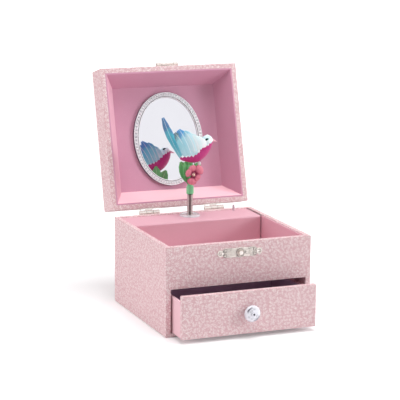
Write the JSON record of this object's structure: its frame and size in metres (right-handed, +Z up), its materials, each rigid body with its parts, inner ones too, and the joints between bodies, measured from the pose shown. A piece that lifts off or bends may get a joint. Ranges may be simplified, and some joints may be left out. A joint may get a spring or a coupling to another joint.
{
  "type": "musical jewellery box",
  "caption": "Paper-covered musical jewellery box with a mirrored lid, a drawer and a bird on a flower that turns on a spring stem.",
  "frame": {"origin": "middle of the underside of the case, without the open lid and drawer", "axes": "+Z up, -Y towards the front, where the drawer opens, +X to the right seen from the front"},
  "size_m": [0.12, 0.2006, 0.1881],
  "materials": {
    "patterned_paper": "pink printed paper over board",
    "plain_paper": "plain pink paper over card",
    "pale_metal": "pale nickel",
    "silver_frame": "silvery beaded moulding",
    "mirror": "silvered",
    "steel": "bright",
    "spring_steel": "close-wound wire",
    "brass": "plain",
    "clear_knob": "clear, faceted",
    "green_enamel": "painted",
    "pink_enamel": "painted",
    "magenta_enamel": "painted",
    "blue_enamel": "painted",
    "teal_enamel": "painted"
  },
  "bodies": {
    "case": {"base_board": "patterned_paper", "left_wall": "patterned_paper", "right_wall": "patterned_paper", "back_wall": "patterned_paper", "front_panel": "patterned_paper", "bay_ceiling": "plain_paper", "partition": "plain_paper", "compartment_lining": "plain_paper", "movement_cover": "plain_paper", "catch_plate": "pale_metal", "catch_stud": "pale_metal", "case_hinge_leaves": "pale_metal", "hinge_pins": "pale_metal", "hinge_nails": "pale_metal", "bedplate": "brass", "bedplate_screws": "steel", "barrel_bridge": "brass", "comb": "steel", "comb_screws": "steel", "governor_frame": "brass", "spindle_bracket": "brass", "escutcheon": "pale_metal", "stem_foot": "spring_steel"},
    "lid": {"lid_top_board": "patterned_paper", "lid_walls": "patterned_paper", "lid_tray": "plain_paper", "mirror_frame": "silver_frame", "mirror_glass": "mirror", "lid_hinge_leaves": "pale_metal", "lid_hinge_nails": "pale_metal", "hasp_plate": "pale_metal", "hasp_pin": "pale_metal"},
    "hasp": {"hasp_tongue": "pale_metal"},
    "drawer": {"drawer_front": "patterned_paper", "drawer_body": "plain_paper", "drawer_lining": "plain_paper", "drawer_knob": "clear_knob", "knob_screw": "steel"},
    "barrel": {"spring_barrel": "brass", "mainspring": "steel"},
    "winder": {"winding_arbor": "steel", "winding_key": "steel"},
    "tune_drum": {"tune_cylinder": "brass", "cylinder_shaft": "steel", "cylinder_wheel": "brass"},
    "idler": {"governor_idler": "brass"},
    "fan": {"governor_fan": "brass"},
    "drive_spindle": {"spindle": "steel"},
    "stop_pin": {"stop_rod": "steel"},
    "stem_1": {"stem_low": "spring_steel"},
    "stem_2": {"stem_mid": "spring_steel"},
    "stem_3": {"stem_top": "spring_steel"},
    "figurine": {"figurine_socket": "green_enamel", "leaves": "green_enamel", "flower": "pink_enamel", "bird_body": "magenta_enamel", "near_wing": "blue_enamel", "far_wing": "teal_enamel", "tail_feathers": "teal_enamel"}
  },
  "joints": [
    {"name": "lid_hinge", "type": "hinge", "parent": "case", "child": "lid", "pos_m": [0, 0.0618, 0.07025], "axis": [-1, 0, 0], "range_deg": [-105, 0]},
    {"name": "hasp_hinge", "type": "hinge", "parent": "lid", "child": "hasp", "pos_m": [0, 0.0974, 0.1867], "axis": [-1, 0, 0], "range_deg": [-180, 0]},
    {"name": "drawer_slide", "type": "slide", "parent": "case", "child": "drawer", "axis": [0, -1, 0], "range_m": [-0.021, 0.04]},
    {"name": "barrel_spin", "type": "hinge", "parent": "case", "child": "barrel", "pos_m": [0, 0.035, 0.048], "axis": [0, 1, 0], "continuous": true},
    {"name": "key_wind", "type": "hinge", "parent": "case", "child": "winder", "pos_m": [0, 0.06, 0.048], "axis": [0, 1, 0], "continuous": true},
    {"name": "tune_drum_spin", "type": "hinge", "parent": "case", "child": "tune_drum", "pos_m": [0.022, 0.044, 0.048], "axis": [1, 0, 0], "continuous": true},
    {"name": "idler_spin", "type": "hinge", "parent": "case", "child": "idler", "pos_m": [0.034, 0.044, 0.0384], "axis": [-1, 0, 0], "continuous": true},
    {"name": "fan_spin", "type": "hinge", "parent": "case", "child": "fan", "pos_m": [0.0366, 0.0396, 0.036], "axis": [0, 0, -1], "continuous": true},
    {"name": "spindle_spin", "type": "hinge", "parent": "case", "child": "drive_spindle", "pos_m": [0, 0.044, 0.06], "axis": [0, 0, 1], "continuous": true},
    {"name": "stop_pin_slide", "type": "slide", "parent": "case", "child": "stop_pin", "axis": [0, 0, 1], "range_m": [-0.0026, 0]},
    {"name": "stem_bend_1", "type": "hinge", "parent": "case", "child": "stem_1", "pos_m": [0, 0.0416, 0.0735], "axis": [-1, 0, 0], "range_deg": [-36, 0]},
    {"name": "stem_bend_2", "type": "hinge", "parent": "stem_1", "child": "stem_2", "pos_m": [0, 0.0416, 0.078], "axis": [-1, 0, 0], "range_deg": [-36, 0]},
    {"name": "stem_bend_3", "type": "hinge", "parent": "stem_2", "child": "stem_3", "pos_m": [0, 0.0416, 0.0825], "axis": [-1, 0, 0], "range_deg": [-36, 0]},
    {"name": "figurine_spin", "type": "hinge", "parent": "stem_3", "child": "figurine", "pos_m": [0, 0.044, 0.0876], "axis": [0, 0, 1], "continuous": true}
  ],
  "couplings": [
    {"joint": "stem_bend_1", "follows": "lid_hinge", "ratio": 0.34286},
    {"joint": "stem_bend_2", "follows": "lid_hinge", "ratio": 0.34286},
    {"joint": "stem_bend_3", "follows": "lid_hinge", "ratio": 0.34286},
    {"joint": "stop_pin_slide", "follows": "lid_hinge", "m_per_rad": 0.001364},
    {"joint": "tune_drum_spin", "follows": "barrel_spin", "ratio": 4},
    {"joint": "spindle_spin", "follows": "barrel_spin", "ratio": 4},
    {"joint": "figurine_spin", "follows": "barrel_spin", "ratio": 4},
    {"joint": "idler_spin", "follows": "barrel_spin", "ratio": 12},
    {"joint": "fan_spin", "follows": "barrel_spin", "ratio": 192}
  ]
}
